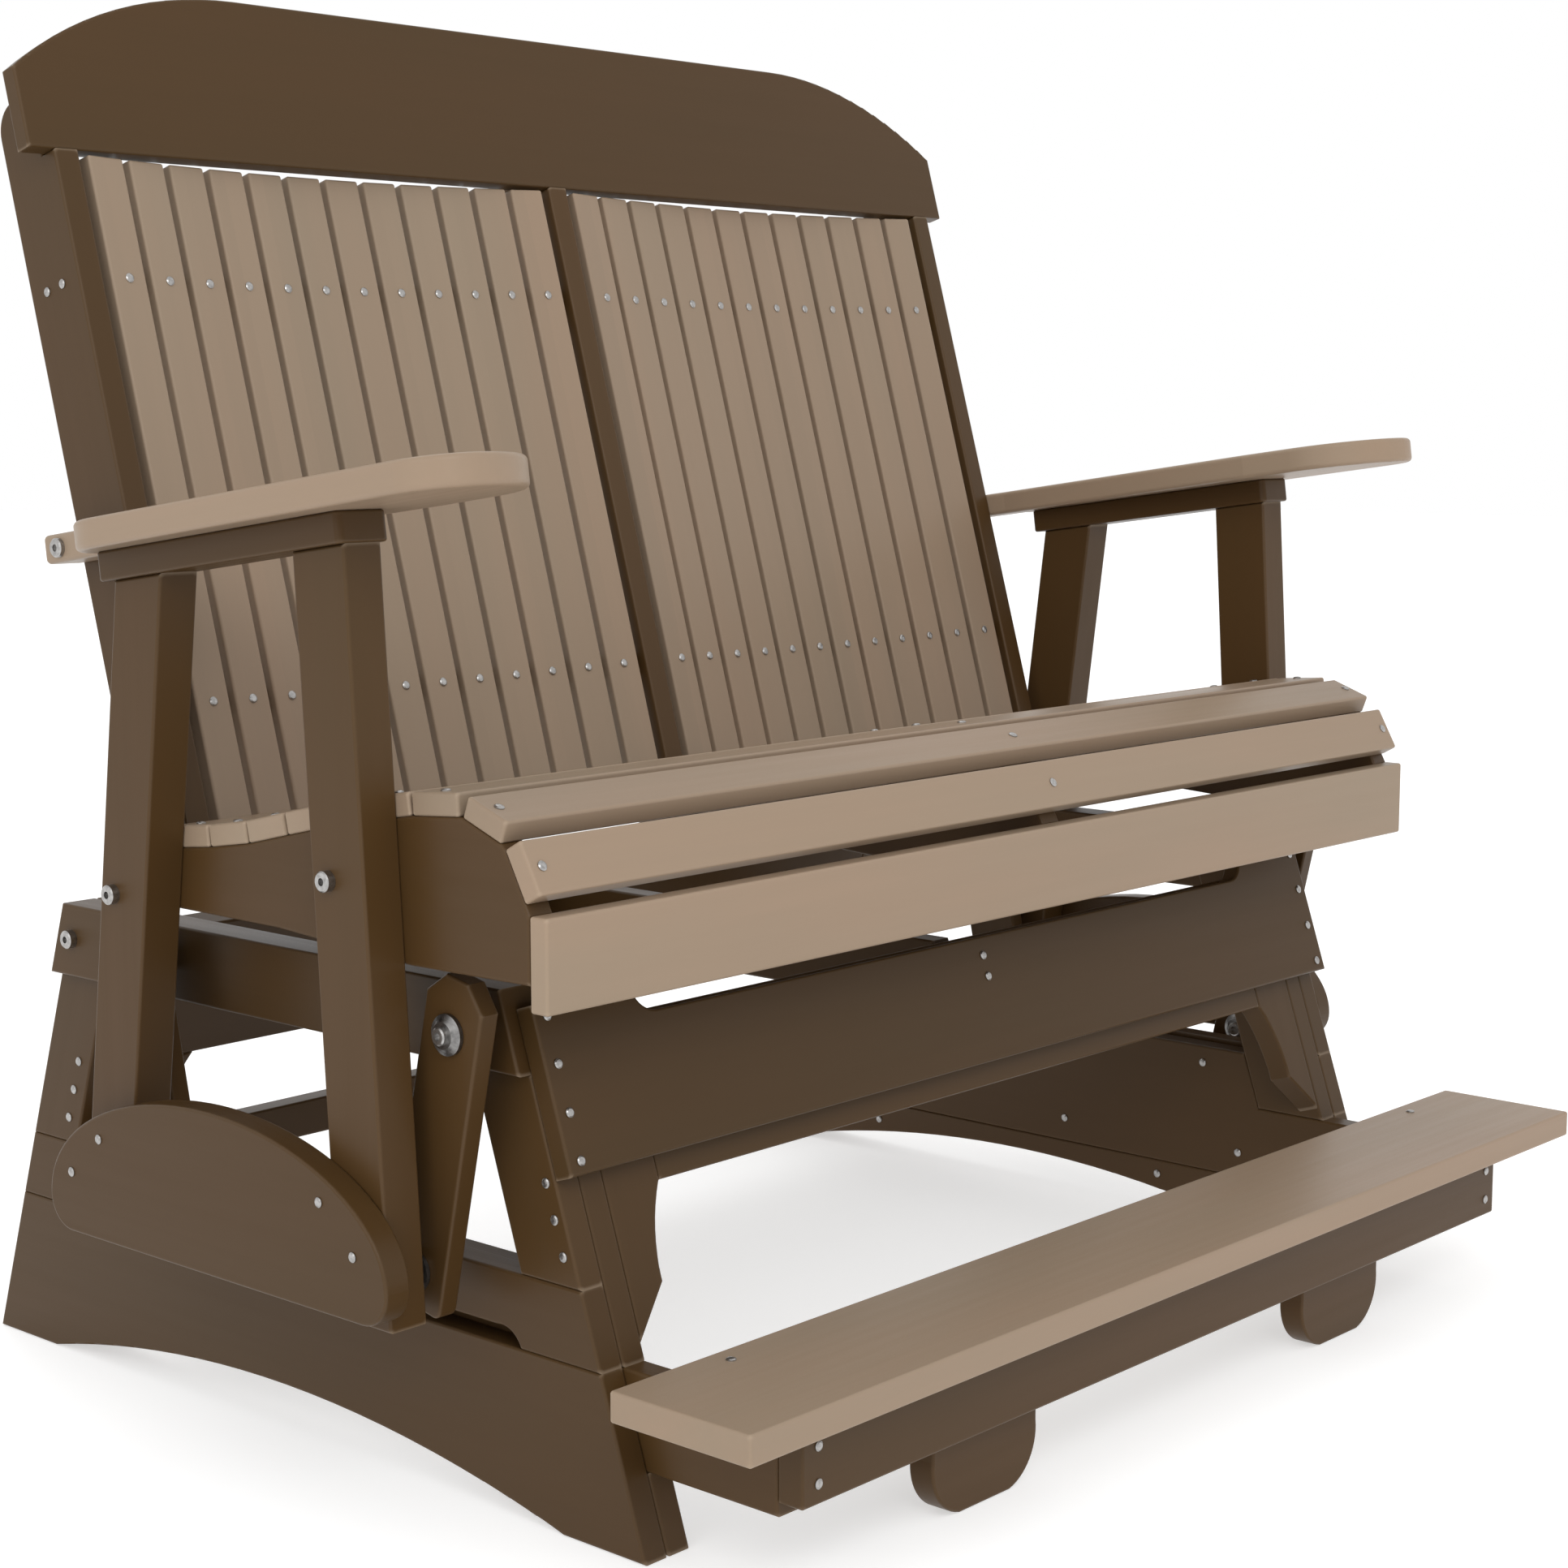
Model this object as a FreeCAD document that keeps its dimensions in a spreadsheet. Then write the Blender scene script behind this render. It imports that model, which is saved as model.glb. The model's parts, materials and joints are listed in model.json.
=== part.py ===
"""Two-seat glider swing with a footrest: a seat hung on four links from a base of poly-lumber boards.

Front is -Y, left is -X, the floor is Z = 0. Side outlines are drawn as (y, z) with y = 0 midway between the feet of
the side frames; every body then moves back by mid_y, so that the whole object's box is centred on the origin.
All sizes are in millimetres and are kept in the spreadsheet.
"""
import FreeCAD
import Part
import math
import os
from types import SimpleNamespace

from FreeCAD import Placement, Rotation, Vector

SIZES = (
    # boards
    ("board", 25.4), ("slat", 19.05), ("thick_board", 38.1), ("edge_round", 2.5), ("arm_round", 4.5),
    # side frames of the base
    ("foot_half", 446.4), ("leg_run", 0.33333), ("frame_outer", "=seat_half - 68.5"), ("bottom_top", 144.5),
    ("arch_half", 353.3), ("arch_rise", 42.5), ("middle_top", 207.5), ("slot_half", 306.0), ("slot_run", 28.0),
    ("slot_rise", 15.0), ("leg_width", 70.0), ("rail_bottom", 374.0), ("rail_top", 442.0),
    ("inner_low_top", 63.5), ("inner_top", 203.0), ("inner_leg_width", 80.0),
    # cross boards of the base
    ("front_board_low", 307.8), ("front_board_wide", 139.7), ("front_board_thick", 20.0),
    ("notch_half", "=seat_half - 180"), ("notch_deep", 24.0), ("strip_low", 286.7), ("strip_wide", 139.7),
    ("rear_board_low", 323.6), ("rear_board_wide", 139.7), ("gusset_reach", 61.0), ("gusset_foot", 39.0),
    ("gusset_side", 79.6), ("gusset_tall", 121.0), ("stretcher_low", 177.0), ("stretcher_tall", 36.0),
    ("stretcher_rear", 287.4), ("brace_low", 335.0), ("brace_top", 400.0),
    # footrest
    ("footrest_front", "=foot_half + 175.1"), ("footrest_wide", 143.5), ("footrest_half", "=seat_half + 1"), ("footrest_under", 143.8),
    ("apron_front", "=foot_half + 141.6"), ("apron_low", 75.0), ("foot_x", 282.0), ("foot_wide", 139.7), ("foot_flat", 67.0),
    ("foot_turn", 52.0),
    # links and pivots
    ("pivot_mid", 72.0), ("upper_half", 212.0), ("lower_half", 168.0), ("upper_pivot_z", 410.0),
    ("lower_pivot_z", 209.0), ("link_inner", "=seat_half - 36"), ("link_wide", 66.0), ("link_top", 46.9),
    ("link_shoulder", 27.0), ("link_crown", 13.0), ("link_bottom", 31.4), ("link_corner", 8.0), ("bolt_radius", 4.75),
    ("bush_radius", 8.0), ("fit_gap", 0.05), ("open_gap", 1.8), ("face_gap", 0.3), ("flange_radius", 17.0),
    ("flange_thick", 3.5), ("hub_radius", 11.0), ("dome_tall", 4.0), ("head_radius", 7.5), ("head_tall", 5.0), ("cap_radius", 8.5),
    ("cap_tall", 8.0),
    # seat
    ("seat_half", 635.0), ("seat_bottom", 475.0), ("seat_bottom_front", 466.0), ("seat_rear", 125.0),
    ("apron_back", 395.5), ("seat_apron_low", 445.0), ("seat_apron_tall", 75.0), ("slat_start_y", 318.0),
    ("slat_start_z", 588.0), ("second_slat_wide", 54.2), ("narrow_slat_wide", 50.8), ("slat_gap", 2.0),
    ("front_slat_wide", 45.9), ("front_slat_tilt", 20.4), ("front_slat_gap", 4.0), ("nose_slat_wide", 45.7),
    ("nose_slat_tilt", 61.2), ("nose_slat_gap", 5.6),
    # back
    ("lean_angle", 15.88), ("lean_foot", 93.05), ("upright_deep", 76.0),
    ("upright_top", 1230.4), ("upright_round", 27.0), ("shelf", 1170.7), ("head_end_tall", 72.9),
    ("head_crown", 86.3), ("head_run", 258.0), ("slats_low", 556.0), ("slats_top", 1167.6),
    ("back_slat_wide", 39.5), ("back_slat_pitch", 46.56), ("back_sag", 16.0), ("back_seat", 0.15),
    ("upper_row", 1055.6), ("lower_row", 669.6), ("back_rail_tall", 25.4),
    # posts and half-moon plates
    ("post_wide", 63.5), ("post_low", 176.0), ("front_post_y", 272.0), ("front_post_run", 0.063),
    ("rear_post_y", 75.8), ("rear_post_run", 0.1255), ("plate_half", 225.0), ("plate_low", 188.0),
    ("plate_tall", 139.0), ("plate_round", 30.0),
    # arms
    ("arm_tilt", 7.69), ("arm_y", 234.5), ("arm_z", 822.5), ("support_in", "=seat_half - 5"), ("support_out", "=seat_half + 45.5"),
    ("support_long", 320.4), ("arm_outer", "=seat_half + 80"), ("arm_wide", 140.0), ("arm_tip", 159.6),
    ("arm_tip_round", 50.5), ("arm_shoulder", 10.6), ("arm_rear", 343.0), ("tongue_wide", 38.0),
    ("tongue_end", 443.6), ("tongue_round", 5.0), ("tongue_bolt", 24.0),
    # fasteners
    ("screw_head", 4.2), ("screw_tall", 2.0), ("screw_shank", 2.1), ("screw_long", 32.0),
    ("bolt_long", 56.0), ("pivot_grip", 30.0),
)
# how far each seat board behind the front one tilts down to the rear, in degrees
SLAT_TILTS = (4.3, 9.8, 11.1, 13.0, 13.2, 9.1, 6.2)
BACK_SLATS = 12
SIDES = (("left", -1), ("right", 1))

doc = FreeCAD.newDocument("GliderSwing")
sheet = doc.addObject("Spreadsheet::Sheet", "Dims")
for row, (alias, value) in enumerate(SIZES, start=1):
    sheet.set("A%d" % row, alias)
    sheet.setAlias("B%d" % row, alias)
for row, (alias, value) in enumerate(SIZES, start=1):
    sheet.set("B%d" % row, str(value))
doc.recompute()
d = SimpleNamespace(**{alias: float(getattr(sheet, alias)) for alias, value in SIZES})

MID_Y = "(Dims.footrest_front - Dims.foot_half) / 2"
mid_y = (d.footrest_front - d.foot_half) / 2
LAYER_1 = "Dims.frame_outer - Dims.board"
LAYER_2 = "Dims.frame_outer - 2 * Dims.board"
layer_1 = d.frame_outer - d.board
layer_2 = d.frame_outer - 2 * d.board
lean = math.radians(d.lean_angle)
leg_angle = math.atan(d.leg_run)
arm_tilt = math.radians(d.arm_tilt)
nodes = []


# ---------------------------------------------------------------- helpers

def new_body(name):
    body = doc.addObject("PartDesign::Body", name)
    body.Label = name
    body.AllowCompound = True
    nodes.append(body)
    return body


def place(body, x="0 mm", y=MID_Y, z="0 mm"):
    """Ties the body's position to the sheet."""
    body.setExpression("Placement.Base.x", x)
    body.setExpression("Placement.Base.y", y)
    body.setExpression("Placement.Base.z", z)


def low_x(side, inner, thick):
    """The lower X of a board whose inner face stands `inner` from the middle plane, on one side."""
    return inner if side > 0 else "-(%s) - (%s)" % (inner, thick)


def draw(sketch, outline):
    """Adds a closed outline: points, and ("arc", through, end) where it bends."""
    here = outline[0]
    steps = list(outline[1:]) + [outline[0]]
    for step in steps:
        start = Vector(here[0], here[1], 0)
        if step[0] == "arc":
            through = Vector(step[1][0], step[1][1], 0)
            end = Vector(step[2][0], step[2][1], 0)
            sketch.addGeometry(Part.ArcOfCircle(start, through, end), False)
            here = step[2]
        else:
            end = Vector(step[0], step[1], 0)
            if end.distanceToPoint(start) > 1e-6:
                sketch.addGeometry(Part.LineSegment(start, end), False)
            here = step


def mirrored(outline):
    """The outline with its first coordinate turned round."""
    turned = []
    for step in outline:
        if step[0] == "arc":
            turned.append(("arc", (-step[1][0], step[1][1]), (-step[2][0], step[2][1])))
        else:
            turned.append((-step[0], step[1]))
    return turned


def sketch_on(body, role, outlines, circles=(), lift=0.0):
    plane = next(o for o in body.Origin.OriginFeatures if o.Role == role)
    sketch = body.newObject("Sketcher::SketchObject", body.Name + "_sketch")
    sketch.AttachmentSupport = [(plane, "")]
    sketch.MapMode = "FlatFace"
    sketch.AttachmentOffset = Placement(Vector(0, 0, lift), Rotation())
    for outline in outlines:
        draw(sketch, outline)
    for centre, radius in circles:
        sketch.addGeometry(Part.Circle(Vector(centre[0], centre[1], 0), Vector(0, 0, 1), radius), False)
    return sketch


def pad_board(body, role, outlines, thick, reverse=False, circles=(), lift=0.0, edge="Dims.edge_round",
              corners=False):
    """Pads outlines into one or more boards and rounds the edges of both faces, but not the bores."""
    sketch = sketch_on(body, role, outlines, circles, lift)
    pad = body.newObject("PartDesign::Pad", body.Name + "_pad")
    pad.Profile = sketch
    pad.setExpression("Length", thick)
    pad.Reversed = reverse
    doc.recompute()
    axis = {"YZ_Plane": 0, "XZ_Plane": 1, "XY_Plane": 2}[role]
    round_edges(body, pad, axis, edge, corners)
    return pad


def round_edges(body, feature, axis, edge, corners=False):
    """Rounds the edges that lie in the feature's two end faces; axis None rounds all of them.

    With corners, the through edges where a curve of the outline ends are rounded as well.
    """
    edges = feature.Shape.Edges
    curve_ends = [vertex.Point for item in edges if item.Curve.TypeId == "Part::GeomCircle"
                  for vertex in item.Vertexes if len(item.Vertexes) == 2]
    chosen = []
    for index, item in enumerate(edges, start=1):
        points = [vertex.Point for vertex in item.Vertexes]
        if len(points) < 2:
            continue
        in_face = axis is None or abs(points[0][axis] - points[1][axis]) < 1e-6
        ends_curve = corners and any(point.distanceToPoint(points[0]) < 1e-6 for point in curve_ends)
        if in_face or ends_curve:
            chosen.append("Edge%d" % index)
    fillet = body.newObject("PartDesign::Fillet", body.Name + "_edges")
    fillet.Base = (feature, chosen)
    fillet.setExpression("Radius", edge)
    return fillet


def box_board(name, length, width, height, x, y, z, edge="Dims.edge_round"):
    """A straight board, all of its edges rounded."""
    body = new_body(name)
    box = body.newObject("PartDesign::AdditiveBox", name + "_box")
    box.setExpression("Length", length)
    box.setExpression("Width", width)
    box.setExpression("Height", height)
    doc.recompute()
    round_edges(body, box, None, edge)
    place(body, x, "(%s) + (%s)" % (y, MID_Y), z)
    return body


def turn(body, degrees, base_y, base_z=0.0):
    """Tips the body about X, standing it on a foot point of its plane."""
    body.Placement = Placement(Vector(0, mid_y + base_y, base_z), Rotation(Vector(1, 0, 0), degrees))


def side_board(name, side, outline, inner, thick="Dims.board", circles=(), corners=False):
    """A board in a side frame, from its outline in (y, z)."""
    body = new_body(name)
    pad_board(body, "YZ_Plane", [outline], thick, circles=circles, corners=corners)
    place(body, low_x(side, inner, thick))
    return body


def side_group(name, outlines, inner, thick="Dims.board"):
    """Equal boards on the left and the right: separate solids of one node."""
    body = new_body(name)
    plane = next(o for o in body.Origin.OriginFeatures if o.Role == "YZ_Plane")
    sketch = sketch_on(body, "YZ_Plane", outlines)
    sketch.setExpression("AttachmentOffset.Base.z", inner)
    pad = body.newObject("PartDesign::Pad", name + "_pad")
    pad.Profile = sketch
    pad.setExpression("Length", thick)
    doc.recompute()
    rounded = round_edges(body, pad, 0, "Dims.edge_round")
    mirror = body.newObject("PartDesign::Mirrored", name + "_mirror")
    mirror.TransformMode = "Whole shape"
    mirror.MirrorPlane = (plane, [""])
    body.Tip = mirror
    place(body)
    return body


def slant(z):
    """Half the side frame's length at height z, along the sloped front and rear of the legs."""
    return d.foot_half - z * d.leg_run


def lean_point(back, along):
    """A point of the leaning back in (y, z): `back` behind the front plane of its slats, `along` it."""
    return (-d.lean_foot + back * math.cos(lean) + along * math.sin(lean),
            along * math.cos(lean) - back * math.sin(lean))


def group(name, solids):
    """Equal fasteners as the separate solids of one node."""
    feature = doc.addObject("Part::Feature", name)
    feature.Label = name
    feature.Shape = Part.makeCompound(solids)
    feature.Placement = Placement(Vector(0, mid_y, 0), Rotation())
    nodes.append(feature)
    return feature


def turned(profile, at, axis):
    """A solid of revolution: profile points are (distance along the axis, radius) from `at`."""
    points = [Vector(along, radius, 0) for along, radius in profile]
    face = Part.Face(Part.makePolygon(points + [points[0]]))
    solid = face.revolve(Vector(0, 0, 0), Vector(1, 0, 0), 360)
    solid.Placement = Placement(Vector(*at), Rotation(Vector(1, 0, 0), Vector(*axis)))
    return solid


def screw(at, axis):
    """A low-head wood screw: its head stands on the board at `at`, axis points out of the wood."""
    r, tall = d.screw_head, d.screw_tall
    profile = [(-d.screw_long, 0), (-d.screw_long + 5, d.screw_shank), (0, d.screw_shank), (0, r),
               (tall * 0.45, r), (tall * 0.85, r * 0.72), (tall, r * 0.35), (tall, 0)]
    return turned(profile, at, axis)


def cap_bolt(at, axis, radius, tall, length):
    """A bolt with a chamfered cap head and a hex socket left plain at its centre."""
    profile = [(-length, 0), (-length, d.bolt_radius), (0, d.bolt_radius), (0, radius),
               (tall - 1.2, radius), (tall, radius - 1.2), (tall, 3.2), (tall * 0.45, 3.2), (tall * 0.45, 0)]
    return turned(profile, at, axis)


# ---------------------------------------------------------------- side frames of the base

z_arm = d.footrest_under
apron_rear = d.apron_front - d.board
arch = [(-d.arch_half, 0), ("arc", (0, d.arch_rise), (d.arch_half, 0))]
bottom = [(-slant(0), 0)] + arch + [(slant(0), 0), (slant(d.bottom_top), d.bottom_top),
                                    (-slant(d.bottom_top), d.bottom_top)]
inner_low = [(-slant(0), 0)] + arch + [(slant(0), 0), (slant(d.inner_low_top), d.inner_low_top),
                                       (-slant(d.inner_low_top), d.inner_low_top)]
slot_in = d.slot_half - d.slot_run
slot_z = d.bottom_top + d.slot_rise
slot_mid = (slot_in + d.slot_run * math.cos(math.pi / 4), d.bottom_top + d.slot_rise * math.sin(math.pi / 4))
middle = [(-slant(d.bottom_top), d.bottom_top), (-d.slot_half, d.bottom_top),
          ("arc", (-slot_mid[0], slot_mid[1]), (-slot_in, slot_z)), (slot_in, slot_z),
          ("arc", slot_mid, (d.slot_half, d.bottom_top)), (slant(d.bottom_top), d.bottom_top),
          (slant(d.middle_top), d.middle_top), (-slant(d.middle_top), d.middle_top)]


def leg(low, top, width):
    return [(-slant(low), low), (-slant(low) + width, low), (-slant(top) + width, top), (-slant(top), top)]


front_leg = leg(d.middle_top, d.rail_bottom, d.leg_width)
rail = [(-slant(d.rail_bottom), d.rail_bottom), (slant(d.rail_bottom), d.rail_bottom),
        (slant(d.rail_top), d.rail_top), (-slant(d.rail_top), d.rail_top)]
arm_board = [(-apron_rear, d.inner_low_top), (slant(d.inner_low_top), d.inner_low_top),
             (slant(d.inner_top), d.inner_top), (-slant(d.inner_top) + d.inner_leg_width, d.inner_top),
             (-slant(z_arm) + d.inner_leg_width, z_arm), (-apron_rear, z_arm)]

for word, side in SIDES:
    side_board("bottom_board_" + word, side, bottom, LAYER_1)
    side_board("middle_board_" + word, side, middle, LAYER_1, corners=True)
    side_board("front_leg_" + word, side, front_leg, LAYER_1)
    side_board("rear_leg_" + word, side, mirrored(front_leg), LAYER_1)
    side_board("top_rail_" + word, side, rail, LAYER_1, "Dims.thick_board")
    side_board("inner_lower_board_" + word, side, inner_low, LAYER_2)
    side_board("footrest_arm_" + word, side, arm_board, LAYER_2)

side_group("inner_front_legs", [leg(z_arm, d.rail_top, d.inner_leg_width)], LAYER_2)
side_group("inner_rear_legs", [mirrored(leg(d.inner_top, d.rail_top, d.inner_leg_width))], LAYER_2)

# ---------------------------------------------------------------- cross boards, in the slope of the legs

slope = 90 - math.degrees(leg_angle)
half_in = layer_2


def sloped(name, outlines, front, thick, reverse=False, lift=0.0):
    """Boards in the slope of the front legs, or of the rear legs; z is outward from that plane."""
    body = new_body(name)
    pad_board(body, "XY_Plane", outlines, thick, reverse=reverse, lift=lift)
    if front:
        turn(body, slope, -d.foot_half)
    else:
        turned_round = Rotation(Vector(0, 0, 1), 180).multiply(Rotation(Vector(1, 0, 0), slope))
        body.Placement = Placement(Vector(0, mid_y + d.foot_half, 0), turned_round)
    return body


board_top = d.front_board_low + d.front_board_wide
notch_z = board_top - d.notch_deep
notch_in = d.notch_half - d.notch_deep
bend = d.notch_deep * (1 - math.sin(math.pi / 4))
front_board = [(-d.frame_outer, d.front_board_low), (d.frame_outer, d.front_board_low),
               (d.frame_outer, board_top), (d.notch_half, board_top),
               ("arc", (d.notch_half - bend, notch_z + bend), (notch_in, notch_z)), (-notch_in, notch_z),
               ("arc", (-d.notch_half + bend, notch_z + bend), (-d.notch_half, board_top)),
               (-d.frame_outer, board_top)]
sloped("front_board", [front_board], True, "Dims.front_board_thick")


def cross(low, wide):
    return [(-half_in, low), (half_in, low), (half_in, low + wide), (-half_in, low + wide)]


strip_half = half_in - d.gusset_reach
strip_top = d.strip_low + d.strip_wide
front_strip = [(-strip_half, d.strip_low), (strip_half, d.strip_low), (strip_half, strip_top),
               (-strip_half, strip_top)]
sloped("front_backing_strip", [front_strip], True, "Dims.board", reverse=True)
rear_set = d.inner_leg_width * math.cos(leg_angle)
sloped("rear_cross_board", [cross(d.rear_board_low, d.rear_board_wide)], False, "Dims.board", lift=-rear_set)


def gusset(top, rise=0.0):
    """A corner block under a cross board, or up its end by `rise`: a hollow inner edge, then a slope to the leg."""
    inner = half_in - d.gusset_reach
    foot = half_in - d.gusset_foot
    upper = [(half_in, top + rise), (inner, top + rise)] if rise else [(half_in, top)]
    return upper + [(inner, top),
            ("arc", (foot - 4.0, top - d.gusset_side * 0.55), (foot, top - d.gusset_side)),
            (half_in, top - d.gusset_tall)]


front_gusset = gusset(d.strip_low, d.strip_wide)
rear_gusset = gusset(d.rear_board_low)
sloped("front_gussets", [front_gusset, mirrored(front_gusset)], True, "Dims.board", reverse=True)
sloped("rear_gussets", [rear_gusset, mirrored(rear_gusset)], False, "Dims.board", lift=-rear_set)

box_board("rear_stretcher", "2 * (%s)" % LAYER_2, "Dims.board", "Dims.stretcher_tall",
          "-(%s)" % LAYER_2, "Dims.stretcher_rear - Dims.board", "Dims.stretcher_low")

strip_back = d.board / math.cos(leg_angle)
brace = [(-slant(d.brace_low) + strip_back, d.brace_low),
         (slant(d.brace_low) - d.inner_leg_width, d.brace_low),
         (slant(d.brace_top) - d.inner_leg_width, d.brace_top),
         (-slant(d.brace_top) + strip_back, d.brace_top)]
centre_brace = new_body("centre_brace")
pad_board(centre_brace, "YZ_Plane", [brace], "Dims.board")
place(centre_brace, "-Dims.board / 2")

# ---------------------------------------------------------------- footrest

box_board("footrest_top", "2 * Dims.footrest_half", "Dims.footrest_wide", "Dims.board",
          "-Dims.footrest_half", "-Dims.footrest_front", "Dims.footrest_under")
box_board("footrest_apron", "2 * (%s)" % LAYER_1, "Dims.board", "Dims.footrest_under - Dims.apron_low",
          "-(%s)" % LAYER_1, "-Dims.apron_front", "Dims.apron_low")


def bucket(x):
    """A footrest foot: straight sides that round in to a flat on the floor."""
    half, flat = d.foot_wide / 2, d.foot_flat / 2
    mid_x = flat + (half - flat) * math.sin(math.pi / 4)
    mid_z = d.foot_turn * (1 - math.sin(math.pi / 4))
    return [(x - flat, 0), (x + flat, 0), ("arc", (x + mid_x, mid_z), (x + half, d.foot_turn)),
            (x + half, z_arm), (x - half, z_arm), (x - half, d.foot_turn),
            ("arc", (x - mid_x, mid_z), (x - flat, 0))]


footrest_feet = new_body("footrest_feet")
pad_board(footrest_feet, "XZ_Plane", [bucket(-d.foot_x), bucket(d.foot_x)], "Dims.board")
place(footrest_feet, y="(%s) - (Dims.apron_front - 2 * Dims.board)" % MID_Y)

# ---------------------------------------------------------------- links and their pivots

front_upper = (-d.pivot_mid - d.upper_half, d.upper_pivot_z)
front_lower = (-d.pivot_mid - d.lower_half, d.lower_pivot_z)
rear_upper = (-d.pivot_mid + d.upper_half, d.upper_pivot_z)
rear_lower = (-d.pivot_mid + d.lower_half, d.lower_pivot_z)


def link_outline(upper, lower):
    """A link round its two pivots: cut corners at the top, square foot with rounded corners."""
    long = math.dist(upper, lower)
    up = ((upper[0] - lower[0]) / long, (upper[1] - lower[1]) / long)
    half = d.link_wide / 2
    foot = -long - d.link_bottom
    bend = d.link_corner * (1 - math.sin(math.pi / 4))

    def at(across, along):
        return (upper[0] + across * up[1] + along * up[0], upper[1] - across * up[0] + along * up[1])

    return [at(-half, foot + d.link_corner), ("arc", at(-half + bend, foot + bend), at(-half + d.link_corner, foot)),
            at(half - d.link_corner, foot),
            ("arc", at(half - bend, foot + bend), at(half, foot + d.link_corner)),
            at(half, d.link_shoulder), at(d.link_crown, d.link_top), at(-d.link_crown, d.link_top),
            at(-half, d.link_shoulder)]


# the rear links' lower bores are wider: the four pivots of a side don't turn in one strict proportion
bore = d.bush_radius + d.fit_gap
open_bore = d.bush_radius + d.open_gap
for row_word, upper, lower, low_bore in (("front", front_upper, front_lower, bore),
                                         ("rear", rear_upper, rear_lower, open_bore)):
    for word, side in SIDES:
        side_board("link_%s_%s" % (row_word, word), side, link_outline(upper, lower), "Dims.link_inner",
                   "Dims.slat", circles=((upper, bore), (lower, low_bore)), corners=True)

link_mid = d.link_inner + d.slat / 2
link_outer = d.link_inner + d.slat
rail_face = layer_1 + d.thick_board


def bush(side, pivot, outward, hub_end):
    """A flanged bush from the link's mid plane; hub_end is its far end's distance from the middle plane."""
    face = link_outer if outward else d.link_inner
    sign = side * (1 if outward else -1)
    start = abs(face - link_mid) + d.face_gap
    end = abs(hub_end - link_mid)
    hole = d.bolt_radius + d.fit_gap
    gap = 0.1
    profile = [(gap, hole), (gap, d.bush_radius), (start, d.bush_radius), (start, d.flange_radius),
               (start + d.flange_thick, d.flange_radius),
               (start + d.flange_thick + d.dome_tall * 0.5, d.hub_radius + 2.5),
               (start + d.flange_thick + d.dome_tall, d.hub_radius), (end, d.hub_radius), (end, hole)]
    if end <= start + d.flange_thick + d.dome_tall + 1e-6:
        del profile[7]
    return turned(profile, (side * link_mid, pivot[0], pivot[1]), (sign, 0, 0))


short_hub = d.face_gap + d.flange_thick + d.dome_tall
upper_bushes, upper_bolts, lower_bushes, lower_bolts = [], [], [], []
for word, side in SIDES:
    for pivot in (front_upper, rear_upper):
        upper_bushes.append(bush(side, pivot, True, link_outer + short_hub))
        upper_bushes.append(bush(side, pivot, False, rail_face))
        head_at = link_outer + short_hub
        upper_bolts.append(cap_bolt((side * head_at, *pivot), (side, 0, 0), d.head_radius, d.head_tall,
                                    head_at - rail_face + d.pivot_grip))
    for pivot in (front_lower, rear_lower):
        lower_bushes.append(bush(side, pivot, True, d.seat_half))
        lower_bushes.append(bush(side, pivot, False, d.link_inner - short_hub))
        head_at = d.link_inner - short_hub
        lower_bolts.append(cap_bolt((side * head_at, *pivot), (-side, 0, 0), d.head_radius, d.head_tall,
                                    d.seat_half - head_at + d.pivot_grip))
group("upper_pivot_bushes", upper_bushes)
group("upper_pivot_bolts", upper_bolts)
group("lower_pivot_bushes", lower_bushes)
group("lower_pivot_bolts", lower_bolts)

# ---------------------------------------------------------------- seat frames and seat boards


def step(point, angle, length):
    return (point[0] + length * math.cos(angle), point[1] + length * math.sin(angle))


# undersides of the seat boards, from front to rear: each is (start, tilt, width)
second_start = (-d.slat_start_y, d.slat_start_z)
front_tilt = math.radians(d.front_slat_tilt)
nose_tilt = math.radians(d.nose_slat_tilt)
front_end = step(second_start, math.radians(SLAT_TILTS[0]), -d.front_slat_gap)
front_start = step(front_end, front_tilt, -d.front_slat_wide)
nose_end = step(front_start, (front_tilt + nose_tilt) / 2, -d.nose_slat_gap)
nose_start = step(nose_end, nose_tilt, -d.nose_slat_wide)
narrow = []
joint = step(second_start, -math.radians(SLAT_TILTS[0]), d.second_slat_wide + d.slat_gap)
for tilt in SLAT_TILTS[1:]:
    narrow.append((joint, -math.radians(tilt), d.narrow_slat_wide))
    joint = step(joint, -math.radians(tilt), d.narrow_slat_wide + d.slat_gap)
seat_back = joint
top_line = [nose_start, nose_end, front_start, front_end, second_start]
top_line += [start for start, tilt, wide in narrow] + [seat_back]

frame_outline = [(d.seat_rear, d.seat_bottom), (-93.0, d.seat_bottom - 1.0),
                 (-258.0, d.seat_bottom_front - 2.0), (-d.apron_back, d.seat_bottom_front),
                 (-d.apron_back, d.seat_apron_low + d.seat_apron_tall)]
frame_outline += top_line + [(d.seat_rear, seat_back[1])]

for word, side in SIDES:
    side_board("seat_end_frame_" + word, side, frame_outline, "Dims.seat_half - Dims.board")
centre_frame = new_body("seat_centre_frame")
pad_board(centre_frame, "YZ_Plane", [frame_outline], "Dims.board")
place(centre_frame, "Dims.board / 2")


def slat_outline(start, tilt, wide):
    """A seat board in section, lying on its underside."""
    end = step(start, tilt, wide)
    return [start, end, step(end, tilt + math.pi / 2, d.slat), step(start, tilt + math.pi / 2, d.slat)]


def seat_boards(name, outlines):
    body = new_body(name)
    sketch = sketch_on(body, "YZ_Plane", outlines)
    pad = body.newObject("PartDesign::Pad", name + "_pad")
    pad.Profile = sketch
    pad.setExpression("Length", "2 * Dims.seat_half")
    doc.recompute()
    round_edges(body, pad, None, "Dims.edge_round")
    place(body, "-Dims.seat_half")
    return body


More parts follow.
